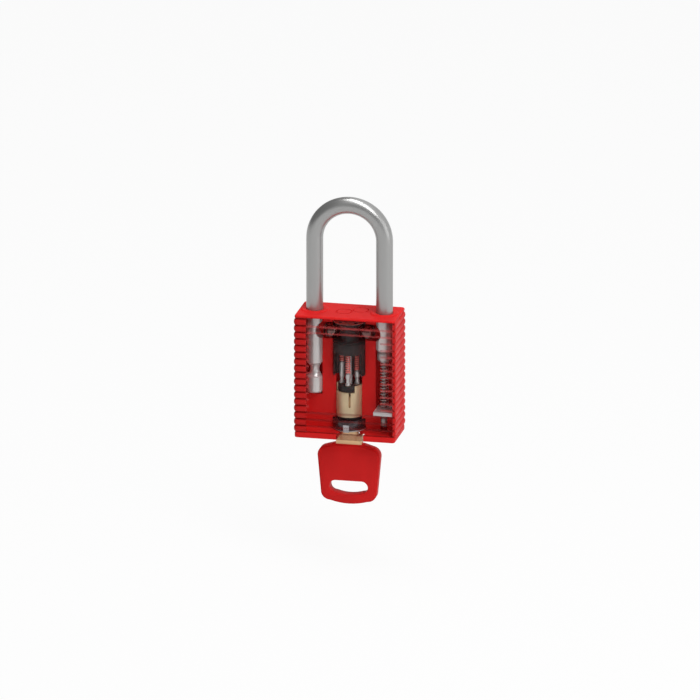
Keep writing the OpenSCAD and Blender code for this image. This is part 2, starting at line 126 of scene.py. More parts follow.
# Steps of the meshes: a rib's quarter turn, a panel's edge, a ball, a coil's turn, and round its wire
QUARTER_STEPS = 4
FADE_STEPS = 4
BALL_STEPS = 28
COIL_STEPS = 20
WIRE_SIDES = 10

# Points closer than this, in metres, are one: in new meshes and in copies of CAD meshes
WELD = 1e-8
CAD_WELD = 1e-7
# Neighbouring faces of a CAD copy that differ by less than this, in degrees, are one
FLAT_ANGLE = 1

# Plastic: gloss, spread of its roughness, and tones of its colour
PLASTIC_GLOSS = 0.08
PLASTIC_SPREAD = (-0.06, 0.08)
PLASTIC_TONES = (0.93, 1.05)
RED = (0.78, 0.018, 0.018)
BOW_RED = (0.75, 0.018, 0.018)
BLACK = (0.028, 0.036, 0.036)

# Metal: tones of its colour, and its least roughness
METAL_TONES = (0.95, 1.04)
LEAST_ROUGH = 0.03

# The cover: its tint on crests, its tint of painted shade in grooves, its tint on the tongue, its haze, and
# the painted shade of its solid ribs, darker on their front and darker still in their grooves
CREST_TINT = 0.03
# The tint in the grooves is painted shade: dark lines where shade falls in them
GROOVE_SHADE_TINT = 0.45
TONGUE_TINT = 0.3
HAZE = (0.005, 0.02)
CREST_SHADE = 0.74
GROOVE_SHADE = 0.4
COVER_ROUGH = (0.36, 0.46)
# How far from a groove's middle its tint of painted shade is full, and where it ends, as shares of the
# pitch
GROOVE_FULL = 0.08
GROOVE_END = 0.22

# The shackle: roughness, share of metal in the open and in the case, and the length over which they change;
# in the case it is painted lighter and less metallic, as painted light where the case shades it
BAR_ROUGH = (0.29, 0.32)
OPEN_METAL = 0.7
CASED_METAL = 0.4
PAINTED_LIGHT_FADE = 6

# The collar: roughness, share of metal, and depth of its marks
COLLAR_ROUGH = (0.16, 0.34)
COLLAR_METAL = 0.7
COLLAR_MARKS = 0.002

# The stage: the floor's drop below the key in millimetres, half its side in metres, its grey and its glow
FLOOR_DROP = 4
FLOOR_HALF = 8
FLOOR_GREY = 0.85
FLOOR_GLOW = 0.93
# Light from all round, and lamps: name, place, width and length in metres, power in watts
AMBIENT = 0.3
LAMPS = (
    ("key_lamp", (0.17, -0.19, 0.71), 0.26, 1.2, 6.7),
    ("fill_lamp", (0.85, -0.3, 0.1), 0.6, 0.6, 1.1),
)

# Dark screens that gloss shows: where each stands, how it fades in, and what it takes away
SCREENS = (
    ((-0.97, 0.1, 0.2), 0.25, 0.55, 0.85),
    ((0.19, -0.91, 0.37), 0.78, 0.92, 0.6),
)


def box_mm(node):
    """Lowest and highest corner of a CAD node, in millimetres."""
    low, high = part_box(node)
    return low / MM, high / MM


def joint_travel(name):
    """Length of a slide's range, in millimetres."""
    for joint in frame["joints"]:
        if joint["name"] == name:
            return (joint["range_m"][1] - joint["range_m"][0]) / MM
    raise KeyError(name)


CASE_LOW, CASE_HIGH = box_mm("case_body")
COVER_HIGH = box_mm("front_cover")[1]
SHACKLE_HIGH = box_mm("shackle")[1]
HALF_W = CASE_HIGH.x
HALF_D = CASE_HIGH.y
Z_TOP = CASE_HIGH.z - BOSS_H
Z_CASE = CASE_LOW.z
Z_FLOOR = box_mm("cylinder_collar")[0].z
COVER_BACK = COVER_T - HALF_D
CUT_Y = COVER_HIGH.y + PART_GAP
BAR_R = SHACKLE_HIGH.y
CAVITY_X = SHACKLE_HIGH.x + BORE_FIT
PANEL_TOP = Z_TOP - PANEL_DROP
PANEL_LOW = PANEL_TOP - PANEL_H
RIB_TOP = Z_TOP - RIB_DROP
TOP_VALLEY = RIB_DROP - RIB_PITCH / 2
LOW_VALLEY = RIB_TOP - RIB_PITCH * (RIB_COUNT - 0.5) - Z_CASE


# Meshes
def make_piece(name, points, faces, sharp=40):
    """A closed mesh object from points in millimetres, smooth except at edges sharper than the angle."""
    mesh = bpy.data.meshes.new(name)
    mesh.from_pydata([Vector(p) * MM for p in points], [], faces)
    work = bmesh.new()
    work.from_mesh(mesh)
    bmesh.ops.remove_doubles(work, verts=work.verts, dist=WELD)
    bmesh.ops.recalc_face_normals(work, faces=work.faces)
    return finish_mesh(name, mesh, work, sharp)


def finish_mesh(name, mesh, work, sharp):
    """Writes a bmesh into its mesh, shades it, and links its object."""
    work.to_mesh(mesh)
    work.free()
    mesh.shade_smooth()
    mesh.set_sharp_from_angle(angle=math.radians(sharp))
    piece = bpy.data.objects.new(name, mesh)
    bpy.context.scene.collection.objects.link(piece)
    return piece


def ring_faces(count, sides, looped=False):
    """Faces between rings of points. The two ends are closed unless the rings close on themselves."""
    faces = []
    for i in range(count if looped else count - 1):
        a = i * sides
        b = (i + 1) % count * sides
        for k in range(sides):
            n = (k + 1) % sides
            faces.append((a + k, a + n, b + n, b + k))
    if not looped:
        faces.append(tuple(range(sides)))
        faces.append(tuple((count - 1) * sides + k for k in range(sides)))
    return faces


def from_rings(name, rings, looped=False, sharp=40):
    """A piece from rings that each hold the same number of points."""
    points = [p for ring in rings for p in ring]
    return make_piece(name, points, ring_faces(len(rings), len(rings[0]), looped), sharp)


def smooth_step(t):
    """Rises from 0 to 1 with level ends."""
    t = min(max(t, 0.0), 1.0)
    return t * t * (3 - 2 * t)


def filleted(corners, steps=5):
    """A closed outline whose corners, each (across, up, radius), are rounded off."""
    outline = []
    for i, (x, y, r) in enumerate(corners):
        here = Vector((x, y))
        before = (Vector(corners[i - 1][:2]) - here).normalized()
        after = (Vector(corners[(i + 1) % len(corners)][:2]) - here).normalized()
        if r == 0:
            outline.append(here)
            continue
        half = before.angle(after) / 2
        centre = here + (before + after).normalized() * (r / math.sin(half))
        first = here + before * (r / math.tan(half)) - centre
        last = here + after * (r / math.tan(half)) - centre
        for k in range(steps + 1):
            outline.append(centre + first.slerp(last, k / steps).normalized() * r)
    return outline


def lathe(name, outline, at=(0, 0), steps=72, sharp=40):
    """A turned piece: the outline, (radius, level), goes round an upright axis."""
    rings = []
    for i in range(steps):
        turn = 2 * math.pi * i / steps
        rings.append([(at[0] + r * math.cos(turn), at[1] + r * math.sin(turn), z) for r, z in outline])
    return from_rings(name, rings, looped=True, sharp=sharp)


def softened(node, width, name=None, sharp=35):
    """A copy of a CAD node with its sharp edges rounded over, which stands for the node."""
    mesh = nodes[node].data.copy()
    mesh.materials.clear()
    work = bmesh.new()
    work.from_mesh(mesh)
    bmesh.ops.remove_doubles(work, verts=work.verts, dist=CAD_WELD)
    bmesh.ops.dissolve_limit(work, angle_limit=math.radians(FLAT_ANGLE), verts=work.verts, edges=work.edges)
    limit = math.radians(sharp)
    edges = [e for e in work.edges if len(e.link_faces) == 2 and e.calc_face_angle() > limit]
    bmesh.ops.bevel(
        work, geom=edges, offset=width * MM, segments=2, profile=0.5, affect="EDGES", clamp_overlap=True
    )
    piece = finish_mesh(name or node + "_finish", mesh, work, sharp)
    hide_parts(node)
    return piece


def settle(piece, body, material):
    """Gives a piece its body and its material."""
    piece.data.materials.clear()
    piece.data.materials.append(material)
    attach(piece, body)
    return piece


# Materials
class Nodes:
    """A short way to write a material's nodes."""

    def __init__(self, name):
        self.material = bpy.data.materials.new(name)
        self.material.use_nodes = True
        self.tree = self.material.node_tree
        self.shader = self.tree.nodes["Principled BSDF"]
        self.place = self.tree.nodes.new("ShaderNodeTexCoord").outputs["Object"]

    def add(self, kind, inputs=None, **settings):
        """A node with its settings, and with a link or a value for each input."""
        node = self.tree.nodes.new(kind)
        for key, value in settings.items():
            setattr(node, key, value)
        for key, value in (inputs or {}).items():
            if isinstance(value, bpy.types.NodeSocket):
                self.tree.links.new(value, node.inputs[key])
            else:
                node.inputs[key].default_value = value
        return node

    def math(self, operation, first, second=0.0, third=0.0):
        """The output of a maths node."""
        inputs = {0: first, 1: second, 2: third}
        return self.add("ShaderNodeMath", inputs, operation=operation).outputs[0]

    def noise(self, size, stretch=(1, 1, 1), detail=3.0):
        """Noise with features of a size in millimetres, stretched along each axis."""
        scale = [1 / s for s in stretch]
        mapped = self.add("ShaderNodeMapping", {"Vector": self.place, "Scale": scale})
        noise = self.add(
            "ShaderNodeTexNoise",
            {"Vector": mapped.outputs[0], "Scale": 1 / (size * MM), "Detail": detail},
        )
        return noise.outputs["Fac"]

    def span(self, value, low, high, start=0.3, stop=0.7):
        """The value's spread from start to stop becomes low to high."""
        inputs = {"Value": value, "From Min": start, "From Max": stop, "To Min": low, "To Max": high}
        return self.add("ShaderNodeMapRange", inputs).outputs[0]

    def mixed(self, factor, first, second):
        """A colour between two."""
        mix = self.add("ShaderNodeMix", {"Factor": factor}, data_type="RGBA")
        sockets = [s for s in mix.inputs if s.type == "RGBA"]
        for socket, value in zip(sockets, (first, second)):
            if isinstance(value, bpy.types.NodeSocket):
                self.tree.links.new(value, socket)
            else:
                socket.default_value = (*value, 1)
        return [s for s in mix.outputs if s.type == "RGBA"][0]

    def feed(self, socket, value):
        """Links or sets one of the shader's inputs."""
        if isinstance(value, bpy.types.NodeSocket):
            self.tree.links.new(value, self.shader.inputs[socket])
        else:
            self.shader.inputs[socket].default_value = value

    def bump(self, height, depth, strength=0.5):
        """Bump whose full height is a depth in millimetres."""
        inputs = {"Height": height, "Strength": strength, "Distance": depth * MM}
        self.feed("Normal", self.add("ShaderNodeBump", inputs).outputs[0])


def shade(colour, factor):
    """A darker or lighter colour."""
    return tuple(c * factor for c in colour)


def plastic(name, colour, rough, grain=0.12, depth=0.012):
    """Moulded plastic: spark-eroded grain, slight flow marks in its colour and gloss."""
    m = Nodes(name)
    flow = m.noise(size=9, stretch=(1, 1, 2.5))
    fine = m.noise(grain, detail=2.0)
    dark, light = (shade(colour, tone) for tone in PLASTIC_TONES)
    m.feed("Base Color", m.mixed(m.span(flow, 0, 1), dark, light))
    m.feed("Roughness", m.span(fine, *(rough + spread for spread in PLASTIC_SPREAD)))
    m.feed("Specular IOR Level", PLASTIC_GLOSS)
    m.bump(fine, depth)
    return m.material


def metal(name, colour, rough, stretch=(1, 1, 1), size=0.25, depth=0.004, metallic=1.0, spread=0.05):
    """Metal with fine marks drawn out along its finish, and faint cloudy stains."""
    m = Nodes(name)
    marks = m.noise(size, stretch, detail=4.0)
    clouds = m.noise(size=5)
    dark, light = (shade(colour, tone) for tone in METAL_TONES)
    m.feed("Base Color", m.mixed(m.span(clouds, 0, 1), dark, light))
    m.feed("Roughness", m.span(marks, max(rough - spread, LEAST_ROUGH), rough + spread))
    m.feed("Metallic", metallic)
    m.bump(marks, depth)
    return m.material


def cover_material(name, colour, tint_and_groove_shade, low_tint_and_groove_shade):
    """See-through cover: clear over its panel, tinged with painted shade in its grooves, and solid round
    its edges, where its ribs carry painted shade on the front and in the grooves.
    """
    m = Nodes(name)
    axes = m.add("ShaderNodeSeparateXYZ", {"Vector": m.place}).outputs
    level = m.math("DIVIDE", m.math("SUBTRACT", axes["Z"], RIB_TOP * MM), RIB_PITCH * MM)
    from_groove = m.math("ABSOLUTE", m.math("SUBTRACT", m.math("FRACT", level), 0.5))
    groove = m.span(from_groove, 1, 0, start=GROOVE_FULL, stop=GROOVE_END)
    across = m.math("ABSOLUTE", axes["X"])
    outside = m.math("GREATER_THAN", across, PANEL_W / 2 * MM)
    above = m.math("GREATER_THAN", axes["Z"], (PANEL_TOP - PANEL_FADE) * MM)
    below = m.math("LESS_THAN", axes["Z"], (PANEL_LOW + PANEL_FADE) * MM)
    off_panel = m.math("MAXIMUM", outside, m.math("MAXIMUM", above, below))
    off_band = m.math("LESS_THAN", axes["Z"], RIB_TOP * MM)
    front = m.math("LESS_THAN", axes["Y"], (COVER_BACK - HALF_D) / 2 * MM)
    ribbed = m.math("MULTIPLY", m.math("MULTIPLY", off_panel, off_band), front)
    # Painted shade: the grooves are tinted as dark lines where shade falls in them
    groove_shade_tint = m.span(groove, CREST_TINT, GROOVE_SHADE_TINT, start=0, stop=1)
    haze = m.math("MULTIPLY_ADD", ribbed, groove_shade_tint, m.span(m.noise(size=6), *HAZE))
    tongue = m.math("MULTIPLY", m.math("LESS_THAN", axes["Z"], Z_FLOOR * MM), TONGUE_TINT)
    right = m.span(axes["X"], 0, 1, start=(CLEAR_RIGHT - CLEAR_FADE) * MM, stop=CLEAR_RIGHT * MM)
    left = m.span(axes["X"], 1, 0, start=(CLEAR_LEFT - CLEAR_FADE) * MM, stop=CLEAR_LEFT * MM)
    side = m.math("GREATER_THAN", across, (HALF_W - RIB_DEPTH - 2 * PART_GAP) * MM)
    solid = m.math("MAXIMUM", side, m.math("MULTIPLY", front, m.math("MAXIMUM", left, right)))
    m.feed("Alpha", m.math("MAXIMUM", solid, m.math("MAXIMUM", haze, tongue)))
    # Painted shade: the solid ribs are darker on the front, and darker still in their grooves
    ribs = m.mixed(groove, shade(colour, CREST_SHADE), shade(colour, GROOVE_SHADE))
    # The veil is darker in the low band, so that the grooves' painted shade shows dark there
    veil = m.mixed(below, tint_and_groove_shade, low_tint_and_groove_shade)
    m.feed("Base Color", m.mixed(solid, veil, m.mixed(front, colour, ribs)))
    m.feed("Roughness", m.span(m.noise(size=0.3), *COVER_ROUGH))
    m.feed("Specular IOR Level", PLASTIC_GLOSS)
    return m.material


def shackle_material(name, dull, painted_light_inside):
    """Drawn bar, dull in the open and painted lighter inside the case: painted light where the case shades
    it.
    """
    m = Nodes(name)
    level = m.add("ShaderNodeSeparateXYZ", {"Vector": m.place}).outputs["Z"]
    # Painted light: lighter and less metallic inside the case, where the case shades the bar
    inside = m.span(level, 1, 0, start=(Z_TOP - PAINTED_LIGHT_FADE) * MM, stop=Z_TOP * MM)
    marks = m.noise(size=0.3, stretch=(0.6, 0.6, 14), detail=4.0)
    m.feed("Base Color", m.mixed(inside, dull, painted_light_inside))
    m.feed("Metallic", m.span(inside, OPEN_METAL, CASED_METAL, start=0, stop=1))
    m.feed("Roughness", m.span(marks, *BAR_ROUGH))
    return m.material


def top_lit_plastic(name, colour, top, level, rough):
    """Plastic painted in noisy patches to a lighter colour above a level: painted light on a top face."""
    m = Nodes(name)
    height = m.add("ShaderNodeSeparateXYZ", {"Vector": m.place}).outputs["Z"]
    above = m.math("GREATER_THAN", height, level * MM)
    # Painted light: the face above the level is painted lighter, in patches
    painted_top_light = m.math("MULTIPLY", above, m.span(m.noise(size=1.5), 0.5, 1))
    m.feed("Base Color", m.mixed(painted_top_light, colour, top))
    m.feed("Roughness", m.span(m.noise(size=0.15), *(rough + spread for spread in PLASTIC_SPREAD)))
    m.feed("Specular IOR Level", PLASTIC_GLOSS)
    return m.material


def collar_material(name, colour, tab):
    """Dark turned metal, with a bright tab on its front."""
    m = Nodes(name)
    axes = m.add("ShaderNodeSeparateXYZ", {"Vector": m.place}).outputs
    front = m.math("LESS_THAN", axes["Y"], -(box_mm("cylinder_collar")[1].y + PART_GAP) * MM)
    marks = m.noise(size=0.25, stretch=(6, 6, 0.4), detail=4.0)
    m.feed("Base Color", m.mixed(front, colour, tab))
    m.feed("Roughness", m.span(marks, *COLLAR_ROUGH))
    m.feed("Metallic", COLLAR_METAL)
    m.bump(marks, COLLAR_MARKS)
    return m.material


red_case = plastic("red_case_plastic", RED, rough=0.5)
red_bow = plastic("red_bow_plastic", BOW_RED, rough=0.46, grain=0.2, depth=0.008)
# The cover's tint paints shade into its grooves, darker in the low band
clear_cover = cover_material("clear_red_cover", RED, tint_and_groove_shade=(0.72, 0.09, 0.09), low_tint_and_groove_shade=(0.22, 0.02, 0.02))
black_nylon = plastic("black_nylon", BLACK, rough=0.42, grain=0.15)
# The cam's top is painted lighter: painted light on a face that the case's top shades
cam_nylon = top_lit_plastic(
    "cam_nylon", BLACK, top=(0.80, 0.88, 0.80), level=box_mm("cam")[1].z - PART_GAP, rough=0.42
)
black_rubber = plastic("black_rubber", (0.014, 0.014, 0.014), rough=0.6, grain=0.1)
dark_collar = collar_material("dark_collar", (0.07, 0.06, 0.065), tab=(0.6, 0.6, 0.62))
# The shackle's lighter colour inside the case is painted light
satin_steel = shackle_material("satin_steel", dull=(0.38, 0.38, 0.375), painted_light_inside=(0.65, 0.64, 0.63))
# The balls' dark, reddish colour is a painted reflection of the red case round them
ball_chrome = metal("ball_chrome", (0.12, 0.08, 0.075), rough=0.1, size=0.4, depth=0.001, spread=0.04)
pin_steel = metal("pin_steel", (0.52, 0.52, 0.51), rough=0.3, size=0.3, depth=0.0002, metallic=0.5)
plain_steel = metal(
    "plain_steel", (0.68, 0.68, 0.68), rough=0.34, stretch=(5, 5, 0.3), size=0.2, metallic=0.5
)
spring_steel = metal("spring_steel", (0.44, 0.42, 0.41), rough=0.34, size=0.15, metallic=0.5)
bronze = metal("bronze_wire", (1.0, 0.28, 0.25), rough=0.35, size=0.15, metallic=0.0)
brass = metal(
    "turned_brass", (0.66, 0.53, 0.33), rough=0.42, stretch=(0.5, 0.5, 12), size=0.15, metallic=0.4
)
key_brass = metal(
    "milled_brass", (0.74, 0.50, 0.27), rough=0.38, stretch=(12, 0.6, 0.6), size=0.15, metallic=0.5
)


# Case
def scallop(share):
    """The depth of a half-round rib's surface, from its crest at 0 to its valley at 1."""
    return RIB_DEPTH * (1 - math.sqrt(max(0.0, 1 - share * share)))


def rib_cut(z):
    """How far the case's side lies below the ribs' crests at a level, its rounded edges included."""
    for inside, valley in ((Z_TOP - z, TOP_VALLEY), (z - Z_CASE, LOW_VALLEY)):
        if inside < EDGE_R:
            share = 1 - max(inside, 0.0) / EDGE_R
            return BAND_IN + EDGE_R * (1 - math.sqrt(1 - share * share))
        if inside < valley:
            share = max(0.0, inside - valley + BAND_ROUND) / BAND_ROUND
            return BAND_IN + scallop(share) * (1 - BAND_IN / RIB_DEPTH)
    from_crest = abs((z - RIB_TOP + RIB_PITCH / 2) % RIB_PITCH - RIB_PITCH / 2)
    return scallop(from_crest / (RIB_PITCH / 2))


def face_cut(x, z):
    """The same on the front or rear face, which carries a plain panel as deep as the valleys."""
    rib = rib_cut(z)
    if not PANEL_LOW <= z <= PANEL_TOP:
        return rib
    return rib + (RIB_DEPTH - rib) * smooth_step((PANEL_W / 2 - abs(x)) / PANEL_FADE)


def side_levels(low, high):
    """Levels from high to low that follow the ribs and the rounded edges closely."""
    quarter = [math.radians(90 * k / QUARTER_STEPS) for k in range(QUARTER_STEPS + 1)]
    edge = [EDGE_R * (1 - math.cos(turn)) for turn in quarter]
    band = [BAND_ROUND * (1 - math.sin(turn)) for turn in quarter]
    levels = [Z_TOP - d for d in edge] + [Z_TOP - TOP_VALLEY + d for d in band]
    levels += [Z_CASE + d for d in edge] + [Z_CASE + LOW_VALLEY - d for d in band]
    for i in range(RIB_COUNT):
        for turn in quarter:
            reach = RIB_PITCH / 2 * math.sin(turn)
            levels += [RIB_TOP - RIB_PITCH * i + reach, RIB_TOP - RIB_PITCH * i - reach]
    levels = [z for z in levels if low + PART_GAP < z < high - PART_GAP] + [low, high]
    return sorted({round(z, 4) for z in levels}, reverse=True)


def skin_ring(point, normal, low, high, panelled=False):
    """One upright cross-section of the case's skin at a point of its outline."""
    ring = []
    for z in side_levels(low, high):
        depth = face_cut(point.x, z) if panelled else rib_cut(z)
        place = point - normal * (depth - SKIN_LIFT)
        ring.append((place.x, place.y, z))
    inner = point - normal * SKIN_INSET
    ring.append((inner.x, inner.y, low))
    ring.append((inner.x, inner.y, high))
    return [(x, y, z + (TOP_LIFT if z == round(Z_TOP, 4) else 0)) for x, y, z in ring]


def corner_points(sx, sy, first, last, steps=7):
    """(point, normal) round one upright corner, from one angle to another in degrees."""
    centre = Vector((sx * (HALF_W - CORNER_R), sy * (HALF_D - CORNER_R)))
    found = []
    for k in range(steps + 1):
        turn = math.radians(first + (last - first) * k / steps)
        normal = Vector((math.cos(turn), math.sin(turn)))
        found.append((centre + normal * CORNER_R, normal))
    return found


def panel_columns():
    """Places across a face, from left to right, that follow the edges of its panel."""
    half = [PANEL_W / 2 - PANEL_FADE * k / FADE_STEPS for k in range(FADE_STEPS + 1, -1, -1)]
    return [-x for x in reversed(half)] + half


def half_outline(sy, end_y, columns):
    """(point, normal) round the front, sy -1, or the rear, sy 1, from the left side to the right."""
    face = [(Vector((x, sy * HALF_D)), Vector((0, sy))) for x in columns]
    outline = [(Vector((-HALF_W, end_y)), Vector((-1, 0)))]
    outline += corner_points(-1, sy, 180, 180 - sy * 90)
    outline += face
    outline += corner_points(1, sy, sy * 90, 0)
    outline.append((Vector((HALF_W, end_y)), Vector((1, 0))))
    return outline


def case_strip(name, outline, low, high, panelled=False):
    """A strip of the case's ribbed skin."""
    rings = []
    for point, normal in outline:
        rings.append(skin_ring(point, normal, low, high, panelled and normal.x == 0))
    settle(from_rings(name, rings, sharp=50), "case", red_case)


def make_case():
    """The case: ribbed skin over its solid, the edges of its top and bottom, and shackle collars."""
    case_strip("case_grip_skin", half_outline(1, CUT_Y - TOP_LIFT, panel_columns()), Z_CASE, Z_TOP, True)
    case_strip("case_brow", half_outline(-1, CUT_Y, []), COVER_HIGH.z + PART_GAP, Z_TOP)
    outline = half_outline(-1, CUT_Y, [-KEYWAY_LEFT, KEYWAY_RIGHT])
    middle = len(outline) // 2
    case_strip("case_sill_left", outline[:middle], Z_CASE, Z_FLOOR)
    case_strip("case_sill_right", outline[middle:], Z_CASE, Z_FLOOR)
    inner = BAR_R + BORE_FIT
    top = Z_TOP + BOSS_H + SKIN_LIFT
    outline = filleted([
        (inner, Z_TOP - BOSS_H, 0), (inner + BOSS_W + BOSS_SLOPE, Z_TOP - BOSS_H, 0),
        (inner + BOSS_W + BOSS_SLOPE, Z_TOP + TOP_LIFT, 0), (inner + BOSS_W, top, BOSS_ROUND),
        (inner, top, BORE_ROUND),
    ])
    leg_x = SHACKLE_HIGH.x - BAR_R
    for name, x in (("left", -leg_x), ("right", leg_x)):
        settle(lathe("shackle_collar_" + name, outline, (x, 0)), "case", red_case)


def cover_ring(z):
    """One level section of the cover: the ribbed outside from left to right, then the plain inside."""
    ring = []
    for point, normal in half_outline(-1, COVER_HIGH.y, panel_columns()):
        depth = face_cut(point.x, z) if normal.x == 0 else rib_cut(z)
        place = point - normal * (depth - SKIN_LIFT)
        ring.append((place.x, place.y, z))
    inside = ((1, COVER_HIGH.y), (1, COVER_BACK), (-1, COVER_BACK), (-1, COVER_HIGH.y))
    return ring + [(side * CAVITY_X, y, z) for side, y in inside]


def tongue_ring(z):
    """One level section of the tongue that covers the keyway."""
    left = PART_GAP - KEYWAY_LEFT
    right = KEYWAY_RIGHT - PART_GAP
    front = rib_cut(z) - SKIN_LIFT - HALF_D
    return [(left, front, z), (right, front, z), (right, COVER_BACK, z), (left, COVER_BACK, z)]


def make_cover():
    """The see-through front half of the case, with a tongue over the keyway."""
    low = Z_FLOOR + PART_GAP
    cover = [cover_ring(z) for z in side_levels(low, COVER_HIGH.z)]
    tongue = [tongue_ring(z) for z in side_levels(Z_CASE, low - PART_GAP)]
    points = [p for ring in cover for p in ring]
    faces = ring_faces(len(cover), len(cover[0]))
    faces += [tuple(len(points) + k for k in face) for face in ring_faces(len(tongue), len(tongue[0]))]
    points += [p for ring in tongue for p in ring]
    piece = make_piece("front_cover_clear", points, faces, sharp=50)
    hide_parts("front_cover")
    settle(piece, "case", clear_cover)


def make_collar_rim():
    """The bright rim round the foot of the collar."""
    low, high = box_mm("cylinder_collar")
    inner = high.y - RIM_IN
    outer = high.y - RIM_OUT
    foot = low.z + PART_GAP
    outline = filleted([
        (inner, foot, 0), (outer, foot, RIM_ROUND),
        (outer, foot + RIM_H, RIM_ROUND), (inner, foot + RIM_H, 0),
    ])
    settle(lathe("collar_rim", outline), "case", pin_steel)


# Springs
def spring(name, node, wire, pitch, material):
    """A coil spring with closed ends that fits its CAD form."""
    low, high = box_mm(node)
    x = (low.x + high.x) / 2
    y = (low.y + high.y) / 2
    radius = (high.x - low.x) / 2 - wire / 2
    length = high.z - low.z - wire
    open_length = length - 2 * CLOSED_TURNS * wire
    open_turns = max(LEAST_TURNS, round(open_length / pitch))
    rings = []
    for i in range((open_turns + 2 * CLOSED_TURNS) * COIL_STEPS + 1):
        turn = i / COIL_STEPS
        rise = min(turn, CLOSED_TURNS) * wire + max(0, turn - CLOSED_TURNS - open_turns) * wire
        rise += min(max(turn - CLOSED_TURNS, 0), open_turns) * open_length / open_turns
        angle = 2 * math.pi * turn
        out = Vector((math.cos(angle), math.sin(angle), 0))
        centre = Vector((x, y, low.z + wire / 2 + rise)) + out * radius
        ring = []
        for k in range(WIRE_SIDES):
            side = 2 * math.pi * k / WIRE_SIDES
            ring.append(centre + (out * math.cos(side) + Vector((0, 0, 1)) * math.sin(side)) * wire / 2)
        rings.append(ring)
    piece = from_rings(name, rings)
    piece.data.materials.append(material)
    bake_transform(piece)
    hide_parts(node)


def make_springs():
    """The ejector's spring, and the four over the driver pins."""
    spring(
        "ejector_coil", "ejector_spring", EJECTOR_WIRE, EJECTOR_PITCH,
        spring_steel,
    )
    for pin in PINS:
        node = "pin_spring_" + pin
        spring(
            node + "_coil", node, PIN_WIRE, PIN_PITCH,
            bronze,
        )


# Pins
def make_driver_pins():
    """Driver pins with a necked foot, a rounded top and a spigot inside their spring."""
    for pin in PINS:
        node = "driver_pin_" + pin
        low, high = box_mm(node)
        r = (high.x - low.x) / 2
        corners = [(r * share, low.z + up, rounding) for share, up, rounding in PIN_FOOT]
        corners += [(r * share, high.z + up, rounding) for share, up, rounding in PIN_TOP]
        centre = ((low.x + high.x) / 2, (low.y + high.y) / 2)
        piece = lathe(node + "_turned", filleted(corners), centre, steps=40)
        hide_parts(node)
        settle(piece, "driver_pins", pin_steel)


# Balls
def make_balls():
    """Locking balls, smooth all round."""
    for side in ("left", "right"):
        node = "ball_" + side
        low, high = box_mm(node)
        centre = (low + high) / 2
        r = (high.z - low.z) / 2
        turns = [math.radians(180 * k / BALL_STEPS - 90) for k in range(BALL_STEPS + 1)]
        outline = [(r * math.cos(turn), centre.z + r * math.sin(turn)) for turn in turns]
        piece = lathe(node + "_polished", outline, (centre.x, centre.y))
        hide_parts(node)
        settle(piece, side + "_ball", ball_chrome)


# Key
def make_bow():
    """The key's bow: a plate with well-rounded edges and a slot."""
    piece = softened("key_bow", BOW_EDGE, "key_bow_moulded", sharp=30)
    settle(piece, "key", red_bow)


# Other parts
def make_plain_parts():
    """Parts that keep their CAD form, with edges rounded over: node, body, edge, material, slot."""
    rows = (
        ("cam", "rotor", 0.12, cam_nylon, "black_nylon"),
        ("pin_housing", "case", 0.15, black_nylon, "black_nylon"),
        ("rotor", "rotor", 0.12, black_nylon, "black_nylon"),
        ("cylinder_sleeve", "case", 0.1, brass, "brass"),
        ("cylinder_collar", "case", 0.2, dark_collar, "dark_collar"),
        ("plunger", "plunger", 0.15, spring_steel, "plain_steel"),
        ("plunger_foot", "plunger", 0.15, spring_steel, "plain_steel"),
        ("spring_clip", "case", 0.15, plain_steel, "plain_steel"),
        ("key_shank", "key", 0.15, key_brass, "key_brass"),
    )
    for node, body, width, material, slot in rows:
        settle(softened(node, width), body, material)


def paint_shown_nodes():
    """Gives the CAD nodes that stay in view their materials."""
    rows = {
        "case_body": red_case, "shackle": satin_steel, "drive_rod": plain_steel, "seal_ring": black_rubber,
    }
    rows.update({"key_pin_" + pin: brass for pin in PINS})
    for node, material in rows.items():
        nodes[node].data.materials.clear()
        nodes[node].data.materials.append(material)


# Stage
def view_axes():
    """Right, up and back of the photograph's camera."""
    a = math.radians(PHOTO_AZIMUTH)
    e = math.radians(PHOTO_ELEVATION)
    right = Vector((math.cos(a), math.sin(a), 0))
    back = Vector((math.sin(a) * math.cos(e), -math.cos(a) * math.cos(e), math.sin(e)))
    return right, back.cross(right), back


def make_camera():
    """The photograph's camera."""
    right, up, back = view_axes()
    across = (PHOTO_SIZE / 2 - ANCHOR_PIXEL[0]) / PHOTO_SCALE
    above = (ANCHOR_PIXEL[1] - PHOTO_SIZE / 2) / PHOTO_SCALE
    aim = ANCHOR + right * across + up * above
    data = bpy.data.cameras.new("camera")
    data.sensor_width = SENSOR
    data.lens = SENSOR * CAMERA_DISTANCE * PHOTO_SCALE / PHOTO_SIZE
    data.clip_start = 1
    data.clip_end = 100
    camera = bpy.data.objects.new("camera", data)
    bpy.context.scene.collection.objects.link(camera)
    camera.location = (aim + back * CAMERA_DISTANCE) * MM
    camera.rotation_mode = "QUATERNION"
    camera.rotation_quaternion = (-back).to_track_quat("-Z", "Y")
    bpy.context.scene.camera = camera


def make_lamp(name, place, width, length, power):
    """A soft oblong lamp, in metres and watts, that looks at the middle of the lock."""
    data = bpy.data.lights.new(name, "AREA")
    data.shape = "RECTANGLE"
    data.size = width
    data.size_y = length
    data.energy = power
    lamp = bpy.data.objects.new(name, data)
    bpy.context.scene.collection.objects.link(lamp)
    lamp.location = place
    lamp.rotation_mode = "QUATERNION"
    lamp.rotation_quaternion = (Vector(place) - ANCHOR * MM).to_track_quat("Z", "Y")


